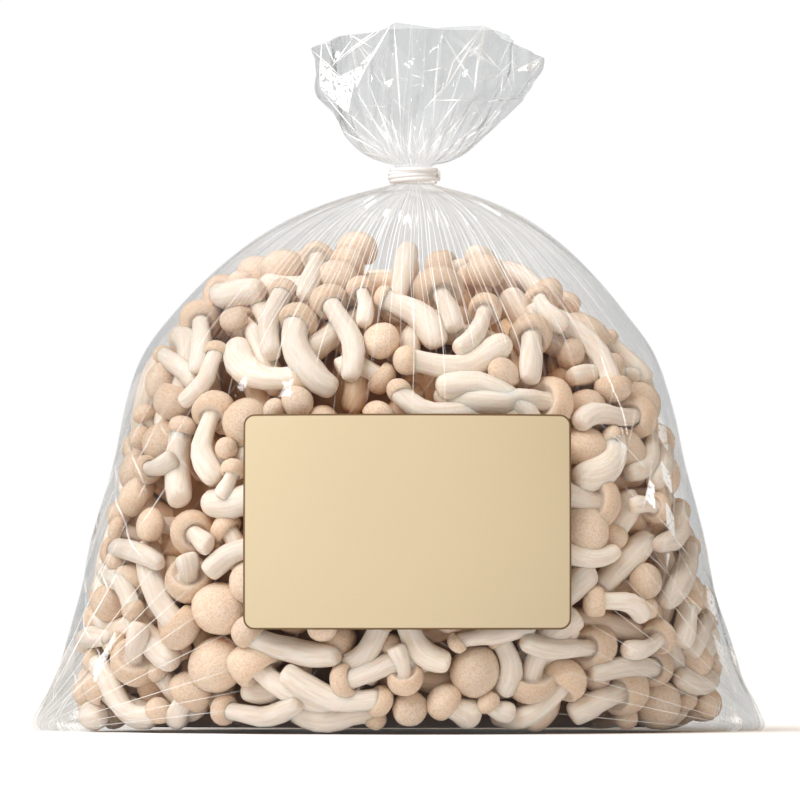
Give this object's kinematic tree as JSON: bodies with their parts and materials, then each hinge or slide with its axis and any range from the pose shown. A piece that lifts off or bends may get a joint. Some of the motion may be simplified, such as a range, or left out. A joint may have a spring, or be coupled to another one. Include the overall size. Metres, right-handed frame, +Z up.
{
  "type": "bag of white shimeji mushrooms",
  "caption": "Bunch of loose white shimeji mushrooms filling a clear bag, gathered and tied at the neck above a blank label, standing on its flat base.",
  "frame": {"origin": "on the surface the bag stands on, under the middle of its width and depth", "axes": "+X to the right along the label's width, +Y to the back away from the label, +Z up through the tied neck"},
  "size_m": [0.271, 0.1629, 0.2601],
  "materials": {
    "film": "clear thin film",
    "tie": "white strip",
    "label": "matte printed beige, bare",
    "mushroom": "smooth soft satin flesh"
  },
  "bodies": {
    "root": {"bag_film": "film", "neck_tie": "tie", "label": "label", "mushroom_bunch": "mushroom"}
  },
  "joints": []
}
